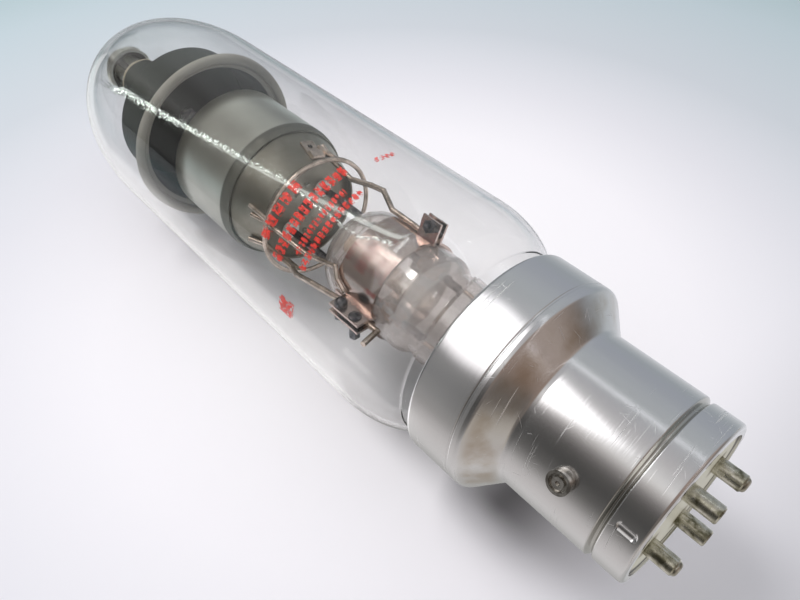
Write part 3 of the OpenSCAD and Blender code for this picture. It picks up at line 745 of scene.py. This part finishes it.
stem, p = new_material("stem_glass")
height = p.part(2)
body = principled(
    p, Base_Color=(0.94, 0.91, 0.89), Roughness=0.0, Transmission_Weight=1.0, IOR=1.47)
haze = p.node("ShaderNodeBsdfDiffuse", inputs={"Color": colour((0.44, 0.385, 0.36))})
brown = noise_of(p, 90.0, 3.0).span(0.40, 0.70)
milky = height.band(level(76.5), level(82.5), level(91.5), level(98.5))
hazy_glass = mix_of(brown * 0.08 + 0.10 + milky * 0.10, body, haze)
sheen = principled(p, Base_Color=(0.85, 0.83, 0.80), Metallic=1.0, Roughness=0.04)
widest = height.band(level(81.5), level(84), level(88.5), level(91))
show(clear_in_shadow(mix_of(widest * 0.16 + 0.02, hazy_glass, sheen)))
lathe("stem", stem_line(0) + stem_line(stem_wall)[::-1], stem, "stem_glass", steps=256)


# Seals and beads. The exhaust tube is tan sealing glass, the anode's seal is clear, and the
# beads round the heater leads are amber.
sealing, p = new_material("sealing_glass")
show(clear_in_shadow(principled(
    p, Base_Color=(0.62, 0.44, 0.28), Roughness=0.0, Transmission_Weight=0.75, IOR=1.5)))
finish(sealing, "exhaust_tube")
clear, p = new_material("clear_seal")
show(clear_in_shadow(principled(
    p, Base_Color=(0.93, 0.92, 0.88), Roughness=0.0, Transmission_Weight=1.0, IOR=1.47)))
finish(clear, "anode_seal")
amber, p = new_material("amber_beads")
show(principled(p, Base_Color=(0.30, 0.13, 0.05), Roughness=0.12, Coat_Weight=0.5))
finish(amber, "lead_beads")


# Leads, screws and wires. Oxidised dark rods and screws; drawn nickel wires, pinkish grey,
# bent and spot-welded.
finish(
    mottled(
        "oxidised_steel", 700.0, 3.0, (0.35, (0.05, 0.05, 0.06)), (0.7, (0.20, 0.19, 0.19)),
        roughness=0.34, pits=0.3, depth=0.00006),
    "lead_rod_1", "lead_rod_2", "anode_lead", "clamp_screws", "clamp_nuts")
nickel, p = new_material("drawn_nickel")
tone = noise_of(p, 260.0, 3.0).ramp((0.35, (0.40, 0.33, 0.27)), (0.65, (0.74, 0.62, 0.53)))
show(principled(p, Base_Color=tone, Metallic=1.0, Roughness=0.24))
finish(
    nickel, "support_rod_1", "support_rod_2", "cathode_wire", "weld_tab", "cage_ring",
    "cage_rods", "base_wire_1", "base_wire_2")


# Clamp. Two halves of polished nickel strap with ears, drawn together round the stem by
# the dark screws and nuts.
strap, p = new_material("polished_strap")
brushed = noise_of(p, 1.0, 2.0, (200, 200, 3000))
show(principled(
    p, Base_Color=(0.60, 0.48, 0.43), Metallic=1.0, Roughness=0.13 + brushed * 0.05,
    Normal=bump(p, brushed, 0.3, 0.00002)))
finish(strap, "clamp_front", "clamp_back")


# Cathode. Two satin nickel shields, a wide one and a cone that closes its lower end, with an
# end plate in the cone. The fluted ribbon inside is coated with white oxide.
shield_r = 24.4
shield_hole_r = 23.8
shield_foot = 158.8
shield_top = 192.4
satin, p = new_material("satin_nickel")
rolled = noise_of(p, 1.0, 2.0, (250, 250, 2500))
lip = p.part(2).span(level(163.7), level(162.5))
tone = noise_of(p, 60.0, 3.0).ramp((0.3, (0.56, 0.565, 0.50)), (0.7, (0.70, 0.71, 0.63)))
tone = lip.between(tone, (0.20, 0.20, 0.17))
show(principled(
    p, Base_Color=tone, Metallic=1.0, Anisotropic=0.5,
    Roughness=lip.span(0, 1, 0.27, 0.5) + rolled * 0.06, Normal=bump(p, rolled, 0.4, 0.00003)))
dim, p = new_material("dim_nickel")
tone = noise_of(p, 90.0, 3.0).ramp((0.3, (0.22, 0.21, 0.17)), (0.7, (0.36, 0.345, 0.29)))
show(principled(p, Base_Color=tone, Metallic=1.0, Roughness=0.40))
finish(dim, "inner_shield", "cathode_plate")
outer_line = (
    [(23.7, shield_foot), (24.25, 160.8), (shield_r, 161.8)]
    + rows(shield_r, 162.5, 192.2, 3) + [(24.3, shield_top)])
inner_line = (
    [(23.1, shield_foot), (23.65, 160.8), (shield_hole_r, 161.8)]
    + rows(shield_hole_r, 162.5, 192.2, 3) + [(23.9, shield_top)])
lathe("wide_shield", outer_line + inner_line[::-1], satin, "outer_shield", steps=320)
white, p = new_material("white_oxide")
show(principled(p, Base_Color=(0.80, 0.80, 0.76), Roughness=0.9))
finish(white, "filament", "lead_eyelets")


# Anode. A flared bell with a rolled rim, pressed from steel and carbonised matt black, on
# a neck sleeve of the same. Its inner faces are painted darker as shade, and the roll and
# the sleeve's end are pale.
bell_wall = 1.4
bell_r = 27
bell_top = 229
bell_bend = 2
roll_r = 30.9
roll_z = 204.6
roll_bend = 1.65
flare_high = 8
flare_steps = 24
lead_hole_r = 1.62
black, p = new_material("carbonised_black")
soot = noise_of(p, 900.0, 3.0)
height = p.part(2)
# Painted shade: the bell's inner faces, where its normal points inwards, are darker than its outer
# ones.
outward = p.node("ShaderNodeNewGeometry", out="Normal").measure("DOT_PRODUCT", p * (1, 1, 0))
inside = outward.span(0.002, -0.002)
tone = soot.ramp((0.3, (0.016, 0.020, 0.016)), (0.7, (0.034, 0.041, 0.034)))
tone = inside.between(tone, (0.008, 0.009, 0.007))
tone = height.span(level(206.5), level(205.7)).between(tone, (0.34, 0.325, 0.28))
tone = height.span(level(264.3), level(264.9)).between(tone, (0.34, 0.30, 0.22))
show(principled(
    p, Base_Color=tone, Roughness=0.62, Specular_IOR_Level=0.25,
    Normal=bump(p, soot, 0.4, 0.00008)))
finish(black, "anode_sleeve")


def bell_line(t):
    """The bell's outer line at t = 0, and its inner line at t = bell_wall."""
    quarter = [math.pi / 2 * i / flare_steps for i in range(flare_steps + 1)]
    flare = [
        (roll_r - (roll_r - bell_r) * math.sin(a) - t, roll_z + flare_high * (1 - math.cos(a)))
        for a in quarter]
    return flare + arc(
        bell_r - bell_bend, bell_top - bell_bend, bell_bend - t, bell_bend - t, 0, 90, 8)


roll = arc(roll_r, roll_z, roll_bend, roll_bend, -215, 20, 24)
lead_hole = [(lead_hole_r, bell_top), (lead_hole_r, bell_top - bell_wall)]
lathe(
    "bell", roll + bell_line(0)[4:] + lead_hole + bell_line(bell_wall)[:3:-1],
    black, "anode_bell", steps=320)


# Mercury. A few bright drops of the liquid metal lie loose in the sealed bulb, where the
# stem's flare meets the neck.
mercury, p = new_material("mercury")
show(principled(p, Base_Color=(0.80, 0.80, 0.80), Metallic=1.0, Roughness=0.03))
finish(mercury, "mercury_drops")
